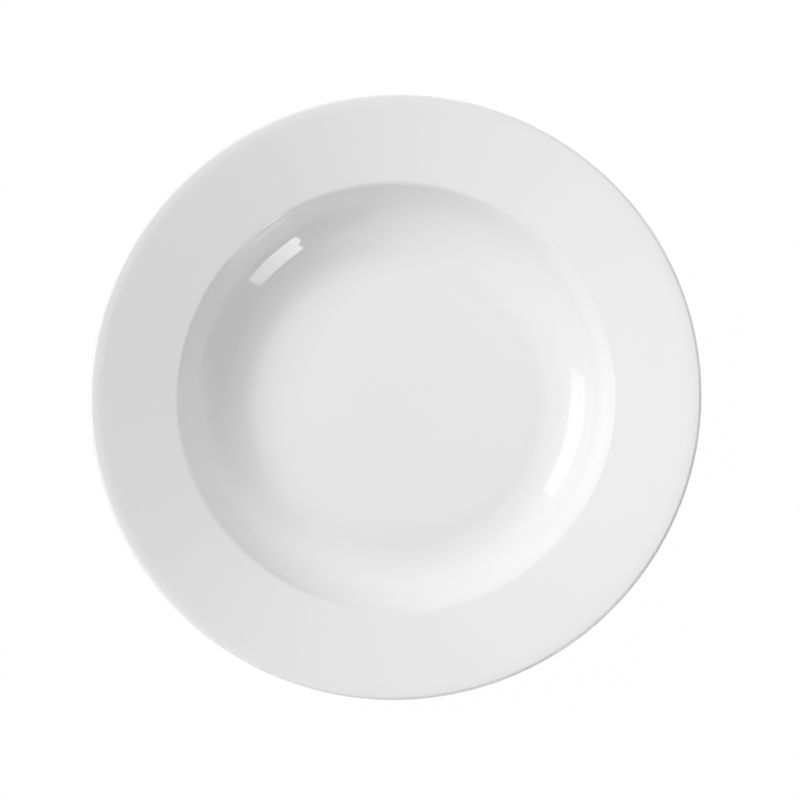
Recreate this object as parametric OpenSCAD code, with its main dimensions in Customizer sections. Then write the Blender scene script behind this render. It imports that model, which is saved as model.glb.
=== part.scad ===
// Rimmed soup plate in glazed porcelain: one fired body under two skins of glaze.
// It stands on its foot ring, with the origin at the centre of the foot on the table.
// Every piece is turned about the Z axis from one outline, drawn to the right of that axis.

/* [Rim] */
// Diameter of the plate across the rim, over the glaze
plate_d = 230; // [215:1:245]
// Width of the rim from its edge to the shoulder, lip included, seen from above
rim_w = 33; // [28:0.5:38]
// Slope of the rim above level, in degrees
rim_slope = 14; // [8:0.5:16]
// Thickness of the rim, glaze included
rim_t = 3.6; // [3:0.1:4.6]
// Width of the lip, the flatter band along the edge of the rim
lip_w = 3.6; // [3:0.1:5]
// Slope of the lip above level, in degrees
lip_slope = 5; // [0:0.5:6]
// Radius of the curve between the rim and the lip
lip_bend_r = 18; // [10:1:20]
// Radius of the lip's upper edge
lip_top_r = 1.2; // [1:0.1:1.7]
// Radius of the lip's lower edge
lip_under_r = 1; // [0.6:0.1:1.2]

/* [Well] */
// Depth of the well, from the shoulder down to the floor
well_depth = 18.5; // [16:0.5:22]
// Slope of the well's wall above level, in degrees
wall_slope = 62; // [56:1:68]
// Thickness of the wall, glaze included
wall_t = 4.4; // [3.8:0.1:5.4]
// Radius of the shoulder, where the wall turns into the rim
shoulder_r = 3; // [2:0.25:6]
// Radius of the curve between the floor and the wall
bowl_r = 30; // [20:1:36]
// Radius under the shoulder, on the back
under_shoulder_r = 8; // [5:0.5:12]
// Radius of the belly, on the back of the wall
belly_r = 28; // [20:1:30]
// Thickness of the floor, glaze included
floor_t = 4.8; // [4:0.1:6]

/* [Foot ring] */
// Outer diameter of the foot ring, at the table
foot_d = 118; // [108:1:124]
// Width of the foot ring, at the table
foot_w = 4.4; // [3.8:0.1:6]
// Height of the recess inside the foot ring
foot_in_h = 3; // [2.4:0.1:4]
// Draft of the foot ring's sides, in degrees
foot_draft = 12; // [6:1:18]
// Radius of the foot ring's edges, at the table
foot_edge_r = 1; // [0.5:0.1:1.3]
// Radius of the corners where the foot ring leaves the plate
foot_root_r = 1.6; // [0.8:0.1:2]

/* [Glaze] */
// Thickness of the glaze
glaze_t = 0.3; // [0.2:0.05:0.5]

/* [Hidden] */
// Largest turn between two neighbouring points of an arc, in degrees
arc_step = 5;
// Sides of each turned piece
$fn = 180;

plate_r = plate_d / 2;
foot_r = foot_d / 2;
floor_z = foot_in_h + floor_t;
shoulder_z = floor_z + well_depth;

// The glazed outline's corners, before they are rounded, go clockwise from the middle of
// the floor over the rim and back underneath to the axis.
floor_mid = [0, floor_z];
shoulder = [plate_r - rim_w, shoulder_z];
bowl = [shoulder.x - well_depth / tan(wall_slope), floor_z];
foot_out_edge = [foot_r, 0];

// The belly leaves the foot ring straight, along the bowl's curve one wall thickness out.
bowl_centre = [bowl.x - bowl_r * tan(wall_slope / 2), floor_z + bowl_r];
belly_slope = asin(max(0, foot_r - bowl_centre.x) / (bowl_r + wall_t));
belly_way = [cos(belly_slope), sin(belly_slope)];
belly_start = bowl_centre + (bowl_r + wall_t) * [belly_way.y, -belly_way.x];

rim_way = [cos(rim_slope), sin(rim_slope)];
rim_end = shoulder + rim_way * (rim_w - lip_w) / rim_way.x;
lip_top = rim_end + [lip_w, lip_w * tan(lip_slope)];
under_shoulder = moved_corner(bowl, shoulder, rim_end, wall_t, rim_t);
lip_under = crossing(under_shoulder, rim_way, [plate_r, 0], [0, 1]);
belly = crossing(under_shoulder, direction(bowl, shoulder), belly_start, belly_way);
foot_out_root = crossing(foot_out_edge, [tan(foot_draft), 1], belly_start, belly_way);
foot_in_edge = [foot_r - foot_w, 0];
foot_in_root = [foot_in_edge.x - foot_in_h * tan(foot_draft), foot_in_h];
recess_mid = [0, foot_in_h];

corners = [
    floor_mid, bowl, shoulder, rim_end, lip_top, lip_under, under_shoulder,
    belly, foot_out_root, foot_out_edge, foot_in_edge, foot_in_root, recess_mid
];
radii = [
    0, bowl_r, shoulder_r, lip_bend_r, lip_top_r, lip_under_r, under_shoulder_r,
    belly_r, foot_root_r, foot_edge_r, foot_edge_r, foot_root_r, 0
];
last = len(corners) - 1;
// Places in that list of the foot ring's corners, between which the porcelain is bare
out_root_i = 8;
out_edge_i = 9;
in_edge_i = 10;
in_root_i = 11;

// Thickness of glaze on the side of the outline that leaves each corner
skins = [for (i = [0 : last - 1]) i == out_edge_i ? 0 : glaze_t];

// The bare body's corners and radii lie one glaze thickness inside the glazed ones.
body_corners = [
    for (i = [0 : last])
        i == 0 ? corners[0] + glaze_t * inward(corners[0], corners[1])
        : i == last ? corners[last] + glaze_t * inward(corners[last - 1], corners[last])
        : moved_corner(corners[i - 1], corners[i], corners[i + 1], skins[i - 1], skins[i])
];
body_radii = [
    for (i = [0 : last])
        i == 0 || i == last || i == out_edge_i || i == in_edge_i ? radii[i]
        : radii[i] + glaze_t * bend(corners[i - 1], corners[i], corners[i + 1])
];

glazed_arcs = arcs(corners, radii);
body_arcs = arcs(body_corners, body_radii);

// Unit vector from a to b
function direction(a, b) = (b - a) / norm(b - a);

// Unit vector into the clay from the side that runs from a to b
function inward(a, b) = [(b - a).y, (a - b).x] / norm(b - a);

// Where the line through a along u meets the line through b along v
function crossing(a, u, b, v) = a + u * cross(b - a, v) / cross(u, v);

// The corner at b when the side before it moves inwards by s and the side after it by t
function moved_corner(a, b, c, s, t) = crossing(
    b + s * inward(a, b), direction(a, b),
    b + t * inward(b, c), direction(b, c)
);

// 1 where the outline is hollow at b and -1 where it bulges
function bend(a, b, c) = sign(cross(b - a, c - b));

// Angle that the outline turns through at b
function turn(a, b, c) = acos(direction(a, b) * direction(b, c));

// Length from each corner to the ends of its arc
function tangent_lengths(points, rs) = [
    for (i = [0 : len(points) - 1])
        i == 0 || i == len(points) - 1 ? 0
        : rs[i] * tan(turn(points[i - 1], points[i], points[i + 1]) / 2)
];

// Share of a side's length that the arcs at its two ends leave each other
function side_share(points, lengths, i) =
    min(1, norm(points[i + 1] - points[i]) / (lengths[i] + lengths[i + 1]));

// Each corner rounded, as a list of points. An arc too long for its sides gets a smaller radius.
function arcs(points, rs) =
    let (lengths = tangent_lengths(points, rs))
    [
        for (i = [0 : len(points) - 1])
            i == 0 || i == len(points) - 1 ? [points[i]]
            : corner_arc(
                points[i - 1], points[i], points[i + 1],
                rs[i] * min(side_share(points, lengths, i - 1), side_share(points, lengths, i))
            )
    ];

// Points of the arc of radius r that rounds the corner at b
function corner_arc(a, b, c, r) =
    let (
        angle = turn(a, b, c),
        way = bend(a, b, c),
        start = b - direction(a, b) * r * tan(angle / 2),
        centre = start - way * r * inward(a, b),
        steps = ceil(angle / arc_step)
    )
    [for (k = [0 : steps]) centre + turned(start - centre, way * angle * k / steps)];

// Vector v turned anticlockwise by an angle
function turned(v, angle) = [
    v.x * cos(angle) - v.y * sin(angle),
    v.x * sin(angle) + v.y * cos(angle)
];

// One list of the points of several arcs, from one corner to another
function chain(lists, from, to) = [for (i = [from : to], p = lists[i]) p];

function last_of(points) = points[len(points) - 1];

function reversed(points) = [for (i = [len(points) - 1 : -1 : 0]) points[i]];

// The fired clay: floor, wall, rim and foot ring in one piece
module porcelain_body() {
    color("#efebe2")
        rotate_extrude()
            polygon(chain(body_arcs, 0, last));
}

// Glaze on the face, round the lip and down the back, as far as the foot ring's outer edge
module glaze_main() {
    color("#f8f8f6")
        rotate_extrude()
            polygon(concat(
                chain(glazed_arcs, 0, out_root_i),
                [glazed_arcs[out_edge_i][0], body_arcs[out_edge_i][0]],
                reversed(chain(body_arcs, 0, out_root_i))
            ));
}

// Glaze inside the foot ring
module glaze_foot_recess() {
    color("#f8f8f6")
        rotate_extrude()
            polygon(concat(
                [last_of(glazed_arcs[in_edge_i])],
                chain(glazed_arcs, in_root_i, last),
                reversed(chain(body_arcs, in_root_i, last)),
                [last_of(body_arcs[in_edge_i])]
            ));
}

porcelain_body();
glaze_main();
glaze_foot_recess();
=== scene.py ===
# %% [markdown]
# # A rimmed soup plate in white glazed porcelain
# The real plate is one piece of fired clay under a skin of glass. This lesson dresses it for a
# picture: it turns three smooth meshes from one outline, gives them a glaze and a bare-clay
# finish, and lights them the way a plate is lit for a catalogue.

# %% Load the frame
import math
import bpy
from mathutils import Matrix, Quaternion, Vector


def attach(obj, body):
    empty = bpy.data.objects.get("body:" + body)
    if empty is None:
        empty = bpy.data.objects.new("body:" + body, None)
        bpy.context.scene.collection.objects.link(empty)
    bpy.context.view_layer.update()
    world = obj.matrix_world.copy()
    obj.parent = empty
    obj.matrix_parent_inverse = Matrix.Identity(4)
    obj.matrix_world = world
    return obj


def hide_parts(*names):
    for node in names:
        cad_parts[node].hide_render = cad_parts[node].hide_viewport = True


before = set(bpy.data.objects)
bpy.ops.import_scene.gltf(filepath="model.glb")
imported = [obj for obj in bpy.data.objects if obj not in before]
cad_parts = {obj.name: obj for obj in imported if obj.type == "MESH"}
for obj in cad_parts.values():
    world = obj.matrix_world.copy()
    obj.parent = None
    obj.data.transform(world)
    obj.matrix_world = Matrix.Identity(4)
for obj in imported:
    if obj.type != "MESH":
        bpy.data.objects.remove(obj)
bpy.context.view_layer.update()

# %% [markdown]
# ## Sizes
# A plate is drawn as half of its cross-section, and a potter would give these same numbers:
# widths, depths, slopes and the radius of every rounded corner. Everything below is worked out
# from them, in millimetres and degrees, so one changed number changes the whole plate.

# %% Sizes of the plate
MM = 0.001
plate_d = 230
rim_w, rim_slope, rim_t = 33, 14, 3.6
lip_w, lip_slope, lip_bend_r = 3.6, 5, 18
lip_top_r, lip_under_r = 1.2, 1
well_depth, wall_slope, wall_t = 18.5, 62, 4.4
shoulder_r, bowl_r = 3, 30
under_shoulder_r, belly_r = 8, 28
floor_t = 4.8
foot_d, foot_w, foot_in_h = 118, 4.4, 3
foot_draft, foot_edge_r, foot_root_r = 12, 1, 1.6
glaze_t = 0.3
plate_r, foot_r = plate_d / 2, foot_d / 2
print("rim", rim_w, "mm wide on a plate", plate_d, "mm across")

# %% [markdown]
# ## Lines and corners
# The outline starts as straight lines between sharp corners. To make it thicker or thinner, each
# line is slid sideways and the corners are found again where the moved lines cross. That is how a
# draughtsman offsets an outline, and it keeps the two faces of a wall parallel.


# %% Helpers for straight lines
def slope(degrees):
    """The unit vector that climbs at this angle above level."""
    return Vector((math.cos(math.radians(degrees)), math.sin(math.radians(degrees))))


def inward(a, b):
    """Into the clay from the side that runs from a to b, clockwise round the outline."""
    along = (b - a).normalized()
    return Vector((along.y, -along.x))


def crossing(a, u, b, v):
    """Where the line through a along u meets the line through b along v."""
    return a + u * ((b - a).cross(v) / u.cross(v))


def moved_corner(a, b, c, before, after):
    """The corner at b when the two sides that meet there slide inwards."""
    return crossing(b + before * inward(a, b), b - a, b + after * inward(b, c), c - b)


print("the rim runs along", [round(v, 3) for v in slope(rim_slope)])

# %% [markdown]
# ## The cross-section
# The corners go clockwise from the middle of the floor, up the wall, along the rim, round the lip
# and back underneath to the axis. The belly on the back leaves the foot ring along the bowl's own
# curve, one wall thickness further out, so the wall is about as thick everywhere.

# %% Corners and radii of the glazed outline
floor_z = foot_in_h + floor_t
floor_mid, recess_mid = Vector((0, floor_z)), Vector((0, foot_in_h))
shoulder = Vector((plate_r - rim_w, floor_z + well_depth))
bowl = Vector((shoulder.x - well_depth / math.tan(math.radians(wall_slope)), floor_z))
rim_end = shoulder + slope(rim_slope) * (rim_w - lip_w) / slope(rim_slope).x
lip_top = rim_end + slope(lip_slope) * lip_w / slope(lip_slope).x
under_shoulder = moved_corner(bowl, shoulder, rim_end, wall_t, rim_t)
lip_under = crossing(under_shoulder, slope(rim_slope), Vector((plate_r, 0)), slope(90))
foot_out_edge, foot_in_edge = Vector((foot_r, 0)), Vector((foot_r - foot_w, 0))
foot_in_root = crossing(foot_in_edge, slope(90 + foot_draft), recess_mid, slope(0))

bowl_centre = Vector((bowl.x - bowl_r * math.tan(math.radians(wall_slope / 2)), floor_z + bowl_r))
belly_way = slope(math.degrees(math.asin((foot_r - bowl_centre.x) / (bowl_r + wall_t))))
belly_start = bowl_centre - (bowl_r + wall_t) * belly_way.orthogonal()
belly = crossing(under_shoulder, slope(wall_slope), belly_start, belly_way)
foot_out_root = crossing(foot_out_edge, slope(90 - foot_draft), belly_start, belly_way)

corners = [
    floor_mid, bowl, shoulder, rim_end, lip_top, lip_under, under_shoulder,
    belly, foot_out_root, foot_out_edge, foot_in_edge, foot_in_root, recess_mid,
]
radii = [
    0, bowl_r, shoulder_r, lip_bend_r, lip_top_r, lip_under_r, under_shoulder_r,
    belly_r, foot_root_r, foot_edge_r, foot_edge_r, foot_root_r, 0,
]
LAST = len(corners) - 1
OUT_EDGE, IN_EDGE = corners.index(foot_out_edge), corners.index(foot_in_edge)
print("shoulder", round(shoulder.y, 2), "mm above the table, lip", round(lip_top.y, 2))

# %% [markdown]
# ## The bare clay inside the glaze
# Glaze is a skin about 0.3 mm thick. The clay under it has the same outline, moved inwards by that
# much on every side but one: the ring that the plate stands on, which is wiped clean so that it
# can't stick to the kiln shelf. Inside a bulging corner the clay's radius is smaller by the skin,
# and in a hollow one larger, so the skin stays even.

# %% Corners and radii of the fired clay
skins = [0 if i == OUT_EDGE else glaze_t for i in range(LAST)]
clay_corners = [floor_mid - Vector((0, glaze_t))]
clay_radii = [0]
for i in range(1, LAST):
    a, b, c = corners[i - 1:i + 2]
    clay_corners.append(moved_corner(a, b, c, skins[i - 1], skins[i]))
    bulges = (b - a).cross(c - b) < 0
    change = 0 if i in (OUT_EDGE, IN_EDGE) else -glaze_t if bulges else glaze_t
    clay_radii.append(radii[i] + change)
clay_corners.append(recess_mid + Vector((0, glaze_t)))
clay_radii.append(0)
print("clay", round(2 * max(v.x for v in clay_corners), 2), "mm across inside the glaze")

# %% [markdown]
# ## Rounded corners with exact normals
# A glossy plate shows every error in its normals as a kink in a highlight. So the outline isn't
# left for Blender to smooth: each point is stored with the true direction that the surface faces
# there. Arcs and straight sides come out as separate stretches of such points, with at most
# ARC_STEP degrees or SIDE_STEP millimetres between two of them.

# %% Stretches of the outline
ARC_STEP = 3
SIDE_STEP = 4


def side(a, b):
    """Points along a straight side, each with its outward normal."""
    count = max(1, math.ceil((b - a).length / SIDE_STEP))
    return [(a.lerp(b, k / count), -inward(a, b)) for k in range(count + 1)]


def arc(a, b, c, r):
    """The corner at b rounded to a radius, as points with outward normals."""
    before, after = b - a, c - b
    way = -1 if before.cross(after) < 0 else 1
    angle = before.angle(after)
    start = b - before.normalized() * r * math.tan(angle / 2)
    centre = start - way * r * inward(a, b)
    count = math.ceil(math.degrees(angle) / ARC_STEP)
    turns = [Matrix.Rotation(way * angle * k / count, 2) for k in range(count + 1)]
    spokes = [turn @ (start - centre) for turn in turns]
    return [(centre + spoke, -way * spoke.normalized()) for spoke in spokes]


def outline(points, rs):
    """Straight and round stretches by turns. The stretch 2 * i - 1 rounds corner i."""
    made, at = [], points[0]
    for i in range(1, LAST):
        round_part = arc(*points[i - 1:i + 2], rs[i])
        made += [side(at, round_part[0][0]), round_part]
        at = round_part[-1][0]
    return made + [side(at, points[LAST])]


glazed, clay = outline(corners, radii), outline(clay_corners, clay_radii)
print("outline of", sum(map(len, glazed)), "points in", len(glazed), "stretches")

# %% [markdown]
# ## Turning an outline into a mesh
# Blender's Screw modifier could spin the outline, but it would work out its own normals. Building
# the rings by hand takes a few lines and lets every face corner keep the exact normal. A point on
# the axis becomes a single vertex, so the surface closes there without a pinhole.

# %% Turn stretches into a closed mesh
AROUND = 240
ON_AXIS = 1e-6


def turned(name, stretches):
    """A mesh that goes once round the Z axis, from stretches that start and end on that axis."""
    sides = [pair for part in stretches for pair in zip(part, part[1:])]
    spokes = [slope(360 * k / AROUND) for k in range(AROUND)]
    verts, starts = [], []
    for point, _ in [sides[0][0]] + [second for _, second in sides]:
        starts.append(len(verts))
        for way in spokes[:1] if abs(point.x) < ON_AXIS else spokes:
            verts.append((point.x * MM * way.x, point.x * MM * way.y, point.y * MM))
    starts.append(len(verts))
    counts = [after - before for before, after in zip(starts, starts[1:])]

    faces, normals = [], []
    for i, ((_, near), (_, far)) in enumerate(sides):
        for k, way in enumerate(spokes):
            ahead = spokes[(k + 1) % AROUND]
            face = [
                (i, k, near, way), (i + 1, k, far, way),
                (i + 1, k + 1, far, ahead), (i, k + 1, near, ahead),
            ]
            # Beside the axis one ring is a single vertex, so the face is a triangle.
            if counts[i] == 1:
                face.pop()
            if counts[i + 1] == 1:
                face.pop(1)
            faces.append([starts[j] + step % counts[j] for j, step, _, _ in face])
            normals += [(n.x * w.x, n.x * w.y, n.y) for _, _, n, w in face]
    mesh = bpy.data.meshes.new(name)
    mesh.from_pydata(verts, [], faces)
    mesh.shade_smooth()
    mesh.normals_split_custom_set(normals)
    piece = bpy.data.objects.new(name, mesh)
    bpy.context.scene.collection.objects.link(piece)
    print(name, len(verts), "vertices", len(faces), "faces")
    return piece


def turned_back(stretches):
    """The same stretches gone through backwards, facing the other way."""
    return [[(point, -normal) for point, normal in reversed(part)] for part in reversed(stretches)]


print("each ring has", AROUND, "vertices,", 360 / AROUND, "degrees apart")

# %% [markdown]
# ## Where the glaze ends
# Melted glaze doesn't end in a square step. The molten glass pulls itself round before it sets,
# and leaves a low bead that a thumb can feel just above the foot. A quarter turn from the glaze's
# surface down to the clay gives the end of each skin that bead.

# %% The rounded end of a skin
BEAD_STEPS = 6


def bead(bare, wet, back):
    """From the glaze's surface, cut back from wet, down to the clay at bare."""
    turns = [slope(90 * k / BEAD_STEPS) for k in range(BEAD_STEPS + 1)]
    spokes = [(wet - bare) * turn.x - back * turn.y for turn in turns]
    return [(bare + back + spoke, spoke.normalized()) for spoke in spokes]


print("a bead is a quarter turn in", BEAD_STEPS, "steps of", 90 / BEAD_STEPS, "degrees")

# %% [markdown]
# ## Three pieces
# The plate comes out as the three bodies of material that it really has: the clay, the glaze
# outside the foot ring and the small disc of glaze inside it. Each one is a closed mesh with real
# thickness. Every piece takes the place of its solid in the CAD model, and rides on the one body.

# %% The glaze over the face, the lip and the back
# Its last side runs down the foot ring from above to wet, and the clay's side there ends at bare.
face, under = glazed[:2 * OUT_EDGE - 1], clay[:2 * OUT_EDGE - 1]
above, wet, bare = face[-1][0][0], face[-1][-1][0], under[-1][-1][0]
back = (above - wet).normalized() * glaze_t
main_skin = face[:-1] + [side(above, wet + back), bead(bare, wet, back)] + turned_back(under)
main_glaze = turned("main_glaze", main_skin)

# %% The glaze inside the foot ring
# Its first side runs up the foot ring from wet to above, and the clay's side there starts at bare.
face, under = glazed[2 * IN_EDGE:], clay[2 * IN_EDGE:]
above, wet, bare = face[0][-1][0], face[0][0][0], under[0][0][0]
back = (above - wet).normalized() * glaze_t
recess_skin = turned_back(under) + [bead(bare, wet, back)[::-1], side(wet + back, above)] + face[1:]
recess_glaze = turned("foot_recess_glaze", recess_skin)

# %% The fired clay
fired_body = turned("fired_body", clay)

# %% Set each piece in its place in the frame
for piece, node, slot in (
    (main_glaze, "glaze_main", "white_glaze"),
    (recess_glaze, "glaze_foot_recess", "white_glaze"),
    (fired_body, "porcelain_body", "fired_porcelain"),
):
    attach(piece, "root")
    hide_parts(node)
    print(piece.name, "replaces", node)

# %% [markdown]
# ## Colours and nodes
# Paint charts and colour pickers give sRGB codes, but Blender's shaders work with linear light, so
# one function turns a code into the linear values. One more adds a node to a material, sets it up
# and links it, which keeps each material below short enough to read as a recipe. What is turned on
# a wheel changes with its distance from the axis, so a third one works that out.


# %% Helpers for materials
def colour(code):
    """A hex colour as the linear values that shaders work with."""
    parts = [int(code[i:i + 2], 16) / 255 for i in (1, 3, 5)]
    return [c / 12.92 if c <= 0.04045 else ((c + 0.055) / 1.055) ** 2.4 for c in parts] + [1]


def add(tree, kind, settings, inputs):
    """Add a node with its settings, and give its inputs plain values or links."""
    node = tree.nodes.new("ShaderNode" + kind)
    for name, value in settings.items():
        setattr(node, name, value)
    for key, value in inputs.items():
        if isinstance(value, bpy.types.NodeSocket):
            tree.links.new(value, node.inputs[key])
        else:
            node.inputs[key].default_value = value
    return node


def empty_tree(owner):
    """The node tree of a material or a world, with nothing in it yet."""
    owner.use_nodes = True
    owner.node_tree.nodes.clear()
    return owner.node_tree


def place_and_radius(tree):
    """Where a point of the plate lies, and how far that is from the Z axis."""
    place = add(tree, "TexCoord", {}, {}).outputs["Object"]
    flat = add(tree, "VectorMath", {"operation": "MULTIPLY"}, {0: place, 1: (1, 1, 0)}).outputs[0]
    radius = add(tree, "VectorMath", {"operation": "LENGTH"}, {0: flat}).outputs["Value"]
    return place, radius


print("a middle grey in linear light:", [round(c, 3) for c in colour("#808080")])

# %% [markdown]
# ## White glaze
# Porcelain glaze is a clear glass over white clay, dipped and then melted at about 1300 degrees.
# The eye sees white from the clay below and a mirror from the glass on top, which a single
# dielectric shader with a low roughness gives. What tells it from plastic is small: a surface that
# waves by a thousandth or two of a millimetre, a slightly greyer tint where the glaze ran into the
# hollows and lies thicker, and a few pinholes where gas left the clay.

# %% Sizes of the glaze's details
WAVE, WAVE_H = 2.6 * MM, 0.0016 * MM
SMEAR = 30 * MM
POOL_W = 9 * MM
BOWL_POOL, ROOT_POOL = 56 * MM, foot_out_root.x * MM
PINHOLE_CELL, PINHOLE_SHARE = 7 * MM, 0.12
PINHOLE_R, PINHOLE_H = 0.16 * MM, 0.016 * MM
GLASS_IOR = 1.5
print("glaze waves", round(1000 * WAVE, 2), "mm long and", round(1e6 * WAVE_H, 1), "micrometres high")

# %% Colours and gloss of the glaze
THIN_GLAZE, THICK_GLAZE, PINHOLE_CLAY = colour("#f4f4f4"), colour("#f0f0f0"), colour("#b9b4ab")
GLAZE_SMOOTH, GLAZE_ROUGH = 0.015, 0.03
# Nearly all values of the noise that varies the gloss lie between these two.
SMEAR_LOW, SMEAR_HIGH = 0.3, 0.7
print("white glaze in linear light:", [round(c, 3) for c in THIN_GLAZE])

# %% Glaze, a little greyer where it lies thicker
glaze = bpy.data.materials.new("white_porcelain_glaze")
tree = empty_tree(glaze)
place, radius = place_and_radius(tree)
pools = []
for middle in (BOWL_POOL, ROOT_POOL):
    gap = add(tree, "Math", {"operation": "SUBTRACT"}, {0: radius, 1: middle}).outputs[0]
    gap = add(tree, "Math", {"operation": "ABSOLUTE"}, {0: gap}).outputs[0]
    ends = {"Value": gap, "From Max": POOL_W, "To Min": 1.0, "To Max": 0.0}
    pools.append(add(tree, "MapRange", {"interpolation_type": "SMOOTHSTEP"}, ends).outputs[0])
pool = add(tree, "Math", {"operation": "MAXIMUM"}, {0: pools[0], 1: pools[1]}).outputs[0]
smear = add(tree, "TexNoise", {}, {"Vector": place, "Scale": 1 / SMEAR, "Detail": 3}).outputs[0]
pool = add(tree, "Math", {"operation": "MULTIPLY"}, {0: pool, 1: smear}).outputs[0]
tint = add(
    tree, "Mix", {"data_type": "RGBA"},
    {"Factor": pool, "A": THIN_GLAZE, "B": THICK_GLAZE},
).outputs["Result"]
print("glaze lies thicker at", [round(1000 * v, 1) for v in (BOWL_POOL, ROOT_POOL)], "mm from the axis")

# %% Glaze, with a pinhole in a few of its cells
# The random colour of a cell, taken as a grey, picks the few that have one.
cells = add(tree, "TexVoronoi", {}, {"Vector": place, "Scale": 1 / PINHOLE_CELL, "Randomness": 1.0})
chosen = add(
    tree, "Math", {"operation": "LESS_THAN"},
    {0: cells.outputs["Color"], 1: PINHOLE_SHARE},
).outputs[0]
ends = {"From Max": PINHOLE_R / PINHOLE_CELL, "To Min": 1.0, "To Max": 0.0}
pit = add(
    tree, "MapRange", {"interpolation_type": "SMOOTHSTEP"},
    {"Value": cells.outputs["Distance"], **ends},
).outputs[0]
pit = add(tree, "Math", {"operation": "MULTIPLY"}, {0: pit, 1: chosen}).outputs[0]
base = add(
    tree, "Mix", {"data_type": "RGBA"},
    {"Factor": pit, "A": tint, "B": PINHOLE_CLAY},
).outputs["Result"]
print("pinholes up to", 2000 * PINHOLE_R, "mm across")

# %% Glaze, its waves and its gloss
waves = add(tree, "TexNoise", {}, {"Vector": place, "Scale": 1 / WAVE, "Detail": 1}).outputs[0]
pits_down = add(tree, "Math", {"operation": "MULTIPLY"}, {0: pit, 1: -PINHOLE_H / WAVE_H}).outputs[0]
height = add(tree, "Math", {"operation": "ADD"}, {0: waves, 1: pits_down}).outputs[0]
bump = add(tree, "Bump", {}, {"Height": height, "Distance": WAVE_H}).outputs[0]
ends = {"From Min": SMEAR_LOW, "From Max": SMEAR_HIGH, "To Min": GLAZE_SMOOTH, "To Max": GLAZE_ROUGH}
rough = add(tree, "MapRange", {}, {"Value": smear, **ends}).outputs[0]
shader = add(
    tree, "BsdfPrincipled", {},
    {"Base Color": base, "Roughness": rough, "IOR": GLASS_IOR, "Normal": bump},
)
add(tree, "OutputMaterial", {}, {"Surface": shader.outputs[0]})
for piece in (main_glaze, recess_glaze):
    piece.data.materials.append(glaze)
print("glaze material with", len(tree.nodes), "nodes")

# %% [markdown]
# ## Bare porcelain
# The ring that the plate stands on is fired clay with no glaze, rubbed smooth on a turning disc of
# fine grit so that it doesn't scratch a table. To the eye it is matt and a little creamier than
# the glaze, with a fine grain and faint rings from the rubbing. Both are really a few hundredths of
# a millimetre wide, too fine to show, and are drawn several times coarser.

# %% Sizes and colours of the bare clay's details
GRAIN, GRAIN_H = 0.35 * MM, 0.012 * MM
RUBBED = 0.5 * MM
SPECK_CELL = 3 * MM
PALE_CLAY, CREAM_CLAY = colour("#ebe6dc"), colour("#ddd6c8")
CLAY_SMOOTH, CLAY_ROUGH = 0.5, 0.7
print("clay grain", 1000 * GRAIN, "mm, rubbed rings", 1000 * RUBBED, "mm apart")

# %% Bare clay material
bisque = bpy.data.materials.new("bare_fired_porcelain")
tree = empty_tree(bisque)
place, radius = place_and_radius(tree)
grain = add(tree, "TexNoise", {}, {"Vector": place, "Scale": 1 / GRAIN, "Detail": 2}).outputs[0]
blotch = add(tree, "TexNoise", {}, {"Vector": place, "Scale": 1 / SPECK_CELL, "Detail": 4}).outputs[0]
rings = add(
    tree, "TexNoise", {"noise_dimensions": "1D"},
    {"W": radius, "Scale": 1 / RUBBED, "Detail": 2},
).outputs[0]
tint = add(
    tree, "Mix", {"data_type": "RGBA"},
    {"Factor": blotch, "A": PALE_CLAY, "B": CREAM_CLAY},
).outputs["Result"]
height = add(tree, "Math", {"operation": "ADD"}, {0: grain, 1: rings}).outputs[0]
bump = add(tree, "Bump", {}, {"Height": height, "Distance": GRAIN_H}).outputs[0]
ends = {"To Min": CLAY_SMOOTH, "To Max": CLAY_ROUGH}
rough = add(tree, "MapRange", {}, {"Value": grain, **ends}).outputs[0]
shader = add(
    tree, "BsdfPrincipled", {},
    {"Base Color": tint, "Roughness": rough, "IOR": GLASS_IOR, "Normal": bump},
)
add(tree, "OutputMaterial", {}, {"Surface": shader.outputs[0]})
fired_body.data.materials.append(bisque)
print("bare clay material with", len(tree.nodes), "nodes")

# %% [markdown]
# ## Studio
# Catalogue pictures of white china stand on white paper in a white room. The room is white only to
# the camera and in mirror images, and lights nothing. The paper is matt and throws the lamps'
# light back up, but the camera sees it as glowing white. That split is made with the Light Path
# node, so that no lamp has to be too bright. A retoucher would leave the soft shadow close round
# the foot and clear it away past the rim, and so does the paper's material.


# %% The room
def seen_directly(tree):
    """1 for rays from the camera and for those mirrored or let through, 0 for soft light."""
    rays = add(tree, "LightPath", {}, {}).outputs
    seen = rays["Is Camera Ray"]
    for name in ("Is Glossy Ray", "Is Transmission Ray"):
        seen = add(tree, "Math", {"operation": "MAXIMUM"}, {0: seen, 1: rays[name]}).outputs[0]
    return seen


WHITE = colour("#ffffff")
room = bpy.data.worlds.new("white_room")
tree = empty_tree(room)
strength = seen_directly(tree)
light = add(tree, "Background", {}, {"Color": WHITE, "Strength": strength}).outputs[0]
add(tree, "OutputWorld", {}, {"Surface": light})
bpy.context.scene.world = room
print("room made of", len(tree.nodes), "nodes")

# %% The paper that the plate stands on
PAPER_R, PAPER_SIDES = 1500, 128
bpy.ops.mesh.primitive_circle_add(vertices=PAPER_SIDES, radius=PAPER_R * MM, fill_type="NGON")
paper = bpy.context.object
paper.name = "studio_paper"
print("paper", 2 * PAPER_R, "mm across")

# %% Paper that shows the plate's shadow close round the foot
# Shares of the light that the paper throws back, and of the shadow that it keeps
PAPER_WHITE = 0.9
SHADOW_AT_FOOT, SHADOW_PAST_RIM = 0.7, 0.01
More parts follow.
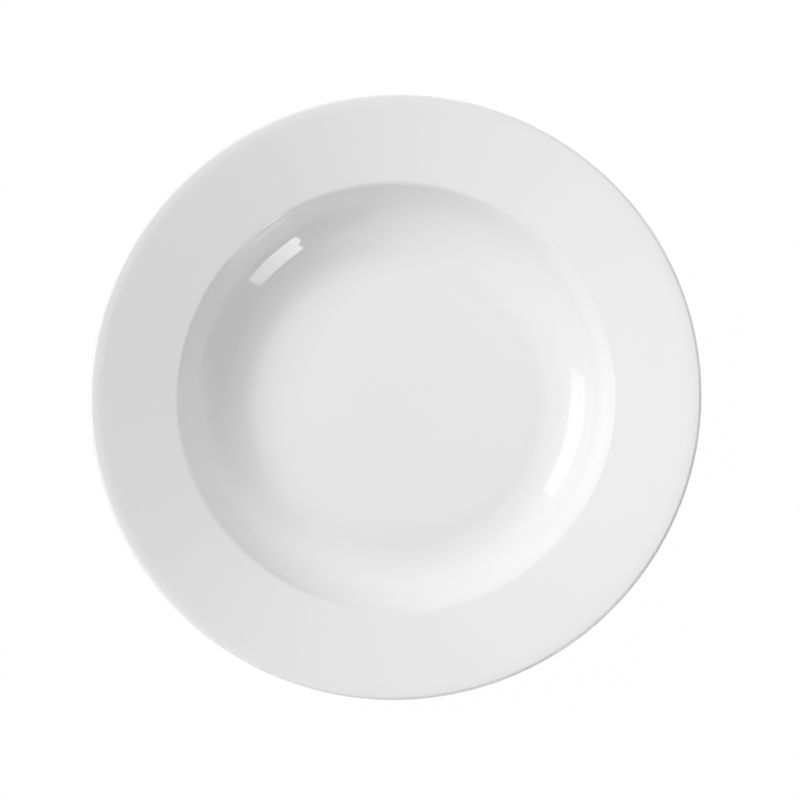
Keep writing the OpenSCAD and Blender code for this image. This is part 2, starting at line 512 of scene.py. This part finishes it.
# Real fibres are finer, too fine to show.
FIBRE, FIBRE_H = 1 * MM, 0.01 * MM
stock = bpy.data.materials.new("matt_white_paper")
tree = empty_tree(stock)
fibres = add(tree, "TexNoise", {}, {"Scale": 1 / FIBRE}).outputs[0]
bump = add(tree, "Bump", {}, {"Height": fibres, "Distance": FIBRE_H}).outputs[0]
matt_white = [PAPER_WHITE] * 3 + [1]
matt = add(tree, "BsdfDiffuse", {}, {"Color": matt_white, "Normal": bump}).outputs[0]
glow = add(tree, "Emission", {}, {"Color": WHITE, "Strength": 1.0}).outputs[0]
place = add(tree, "TexCoord", {}, {}).outputs["Object"]
out = add(tree, "VectorMath", {"operation": "LENGTH"}, {0: place}).outputs["Value"]
cleared = add(
    tree, "MapRange", {"interpolation_type": "SMOOTHSTEP"},
    {
        "Value": out, "From Min": foot_r * MM, "From Max": plate_r * MM,
        "To Min": 1 - SHADOW_AT_FOOT, "To Max": 1 - SHADOW_PAST_RIM,
    },
).outputs[0]
seen = seen_directly(tree)
share = add(tree, "Math", {"operation": "MULTIPLY"}, {0: seen, 1: cleared}).outputs[0]
mixed = add(tree, "MixShader", {}, {0: share, 1: matt, 2: glow}).outputs[0]
add(tree, "OutputMaterial", {}, {"Surface": mixed})
paper.data.materials.append(stock)
print("paper keeps", SHADOW_AT_FOOT, "of the shadow at the foot and", SHADOW_PAST_RIM, "past the rim")

# %% [markdown]
# ## Lamps
# The key softbox stands low on the left and gives more than twice the light of any other lamp. A
# smaller one stands low on the right, and five plain panels do what the walls of a real studio do
# with stray light. Glaze mirrors none of them here: a lamp that lights porcelain well burns its own
# mirror image out, so the two jobs are split. Each lamp is placed by its direction as the plate
# sees it, 4 metres away, so that it lights both edges nearly alike.

# %% Softboxes
LAMP_DISTANCE = 4
well_middle = Vector((0, 0, floor_z * MM))


def direction(azimuth, zenith):
    """The unit vector that points so far round from +X and so far down from straight up."""
    around, up = slope(azimuth), slope(90 - zenith)
    return Vector((around.x * up.x, around.y * up.x, up.y))


def softbox(name, azimuth, zenith, width, height, radiance):
    """An area lamp aimed at the plate. Its width and height are the angles that it fills."""
    way = direction(azimuth, zenith)
    data = bpy.data.lights.new(name, "AREA")
    data.shape = "RECTANGLE"
    data.size = 2 * LAMP_DISTANCE * math.tan(math.radians(width / 2))
    data.size_y = 2 * LAMP_DISTANCE * math.tan(math.radians(height / 2))
    data.energy = radiance * math.pi * data.size * data.size_y
    lamp = bpy.data.objects.new(name, data)
    bpy.context.scene.collection.objects.link(lamp)
    lamp.location = well_middle + way * LAMP_DISTANCE
    lamp.rotation_euler = way.to_track_quat("Z", "Y").to_euler()
    lamp.visible_camera = lamp.visible_glossy = False
    print(name, "gives", round(data.energy), "W")


softbox("key_softbox", 159.5, 57, 33, 24, 8.1)
softbox("fill_softbox", -45, 61.5, 19.5, 23, 3.6)
softbox("left_panel", 150, 35, 30, 30, 1.45)
softbox("right_panel", 30, 35, 30, 30, 3.15)
softbox("back_panel", 90, 60, 30, 30, 1.6)
softbox("east_panel", 0, 58, 30, 30, 0.3)
softbox("side_panel", 240, 75, 30, 30, 3.2)

# %% [markdown]
# ## Shining cards
# What the glaze does mirror is two white cards that stand where the key and the fill stand. Their
# images are the two bright patches on the wall of the well, and the two thin lines on the
# shoulder, where the same turn of the surface is squeezed into a millimetre. A corner is given by
# its azimuth, its zenith angle and how bright the card is there.


# %% Cards that only mirror images show
def only_in_mirrors(thing):
    """Let an object show in mirror images and nowhere else."""
    thing.visible_camera = thing.visible_diffuse = False
    thing.visible_shadow = thing.visible_transmission = False


def card(name, tips):
    """A glowing card as far away as the lamps. Each corner holds two angles and a radiance."""
    mesh = bpy.data.meshes.new(name)
    places = [well_middle + direction(*tip[:2]) * LAMP_DISTANCE for tip in tips]
    mesh.from_pydata(places, [], [range(len(tips))])
    levels = mesh.attributes.new("glow", "FLOAT", "POINT").data
    levels.foreach_set("value", [tip[2] for tip in tips])
    sheet = bpy.data.objects.new(name, mesh)
    bpy.context.scene.collection.objects.link(sheet)
    only_in_mirrors(sheet)
    lit = bpy.data.materials.new(name + "_lit")
    tree = empty_tree(lit)
    level = add(tree, "Attribute", {"attribute_name": "glow"}, {}).outputs["Fac"]
    glow = add(tree, "Emission", {}, {"Color": WHITE, "Strength": level}).outputs[0]
    add(tree, "OutputMaterial", {}, {"Surface": glow})
    mesh.materials.append(lit)
    print(name, "has", len(tips), "corners")


card("key_card", [
    (140, 46, 3), (166, 46, 3.6), (180, 51, 2.5),
    (177, 73, 2.5), (158, 71, 3.6), (141, 66, 3),
])
card("fill_card", [
    (-34, 71, 3.5), (-34, 49, 3.5), (-56, 50, 7.5),
    (-55, 60, 7.5), (-57, 64, 7.5), (-56, 73.5, 7.5),
])

# %% [markdown]
# ## Black flags
# White china in a white room would mirror nothing but white and look flat. A photographer hangs
# black cloth where the plate should mirror something dark. These two are 6 metres away on the
# right, high and low, and are feathered, so their images fade out without an edge. They give the
# left half of the rim its depth, and draw the line on the wall of the well where the mirror image
# of the rim ends.

# %% Flags that only mirror images show
FLAG_DISTANCE = 6
FLAG_SIDES = 96


def flag(name, azimuth, zenith, solid, feathered):
    """A round black cloth, solid up to one angle from its middle and gone by another."""
    way = direction(azimuth, zenith)
    solid_r, gone_r = [FLAG_DISTANCE * math.tan(math.radians(v)) for v in (solid, feathered)]
    bpy.ops.mesh.primitive_circle_add(
        vertices=FLAG_SIDES, radius=gone_r, fill_type="NGON",
        location=well_middle + way * FLAG_DISTANCE, rotation=way.to_track_quat("Z", "Y").to_euler(),
    )
    disc = bpy.context.object
    disc.name = name
    only_in_mirrors(disc)
    cloth = bpy.data.materials.new(name + "_cloth")
    tree = empty_tree(cloth)
    place = add(tree, "TexCoord", {}, {}).outputs["Object"]
    out = add(tree, "VectorMath", {"operation": "LENGTH"}, {0: place}).outputs["Value"]
    ends = {"Value": out, "From Min": solid_r, "From Max": gone_r}
    gone = add(tree, "MapRange", {"interpolation_type": "SMOOTHSTEP"}, ends).outputs[0]
    black = add(tree, "BsdfDiffuse", {}, {"Color": colour("#101010")}).outputs[0]
    clear = add(tree, "BsdfTransparent", {}, {}).outputs[0]
    mixed = add(tree, "MixShader", {}, {0: gone, 1: black, 2: clear}).outputs[0]
    add(tree, "OutputMaterial", {}, {"Surface": mixed})
    disc.data.materials.append(cloth)
    print(name, "is", round(2 * gone_r, 1), "m across")


flag("high_flag", -2, 35, 24, 46)
flag("low_flag", -43, 85, 35, 52)

# %% [markdown]
# ## Camera
# The picture is taken from almost straight above, a little towards the near edge. The camera's
# turn is one rotation about a level axis, which is simpler to measure and to change than three
# separate angles.

# %% Camera
LEAN, LEAN_AXIS = 9.08, 16
DISTANCE, FOCAL = 1200, 143.67
AIM_RIGHT, AIM_UP, AIM_Z = 2.06, -2.49, 31.5
lean = Quaternion(slope(LEAN_AXIS).to_3d(), math.radians(LEAN))
aim = Vector((AIM_RIGHT, AIM_UP, AIM_Z))
lens = bpy.data.cameras.new("camera")
lens.lens = FOCAL
camera = bpy.data.objects.new("camera", lens)
bpy.context.scene.collection.objects.link(camera)
camera.location = (aim + lean @ Vector((0, 0, DISTANCE))) * MM
camera.rotation_mode = "QUATERNION"
camera.rotation_quaternion = lean
bpy.context.scene.camera = camera
bpy.context.scene.view_settings.view_transform = "Standard"
print("camera at", [round(v, 3) for v in camera.location], "m")
